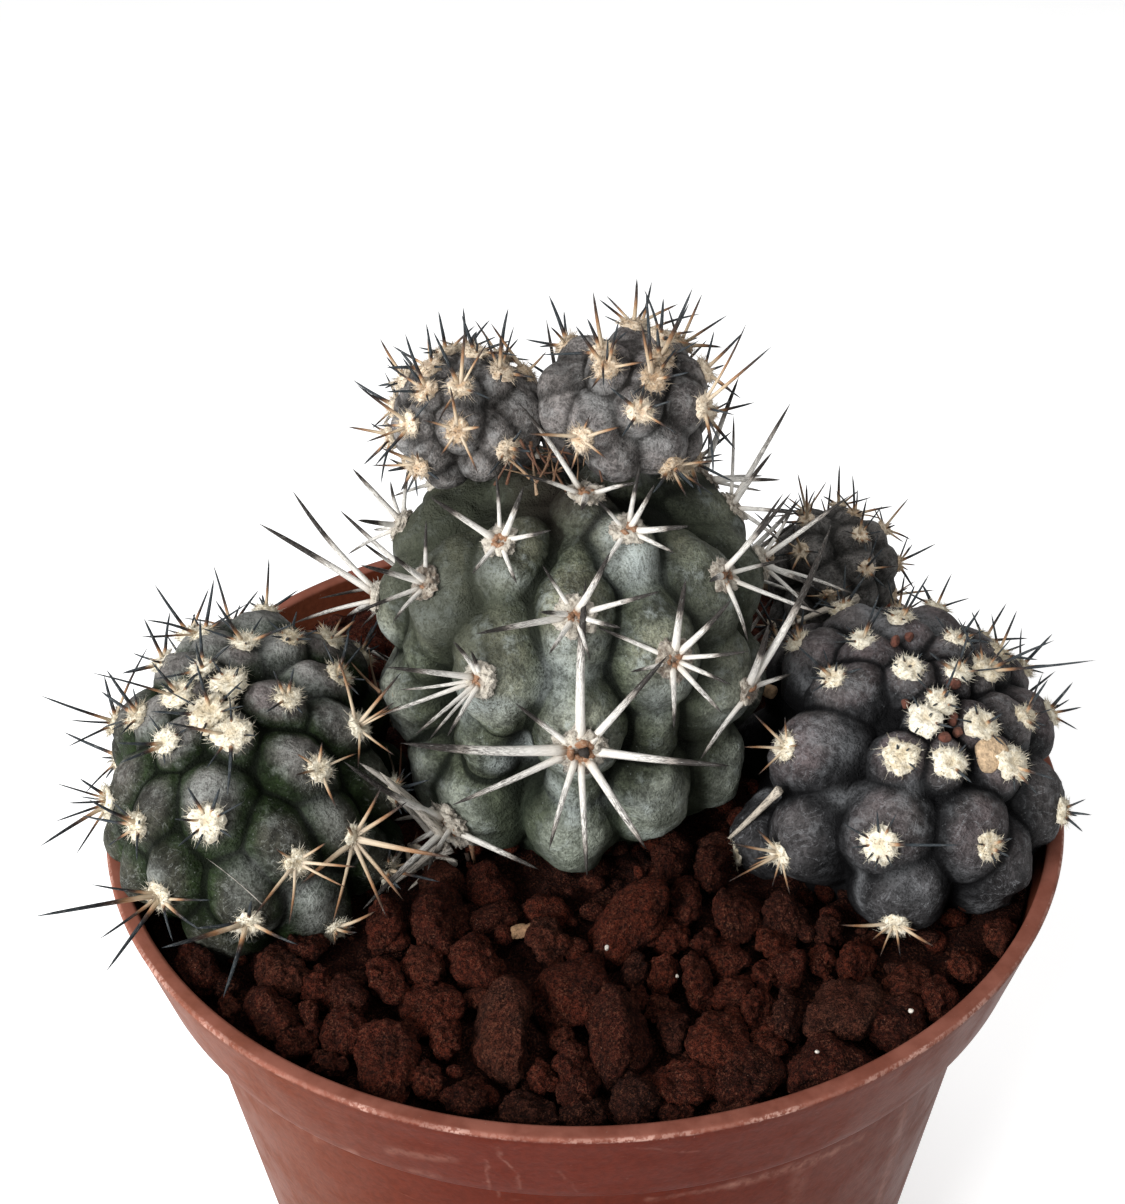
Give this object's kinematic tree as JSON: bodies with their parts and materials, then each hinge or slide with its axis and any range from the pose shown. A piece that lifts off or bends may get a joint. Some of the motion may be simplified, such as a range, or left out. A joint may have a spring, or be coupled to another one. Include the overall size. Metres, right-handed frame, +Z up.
{
  "type": "potted copiapoa cactus",
  "caption": "Clump of low ribbed copiapoa cactus stems with spiny woolly areoles in reddish grit, in a round brown-red plastic nursery pot.",
  "frame": {"origin": "centre of the pot's flat underside", "axes": "+Z up out of the pot; -Y is the side that the picture was taken from; +X to its right"},
  "size_m": [0.107, 0.1, 0.1387],
  "materials": {
    "pot_plastic": "semi-matte brown-red plastic, lightly scuffed",
    "lava_grit": "dark red-brown porous lava grit",
    "flesh_green": "dull grey-green waxy skin",
    "flesh_left": "dark green to grey-purple waxy skin",
    "flesh_right": "dark purplish grey-brown waxy skin with grey bloom",
    "flesh_small": "dark grey-brown waxy skin"
  },
  "bodies": {
    "root": {"pot": "pot_plastic", "soil": "lava_grit", "main_stem": "flesh_green", "head_left": "flesh_left", "head_right": "flesh_right", "head_top_left": "flesh_small", "head_top_right": "flesh_small", "head_back_right": "flesh_small"}
  },
  "joints": []
}
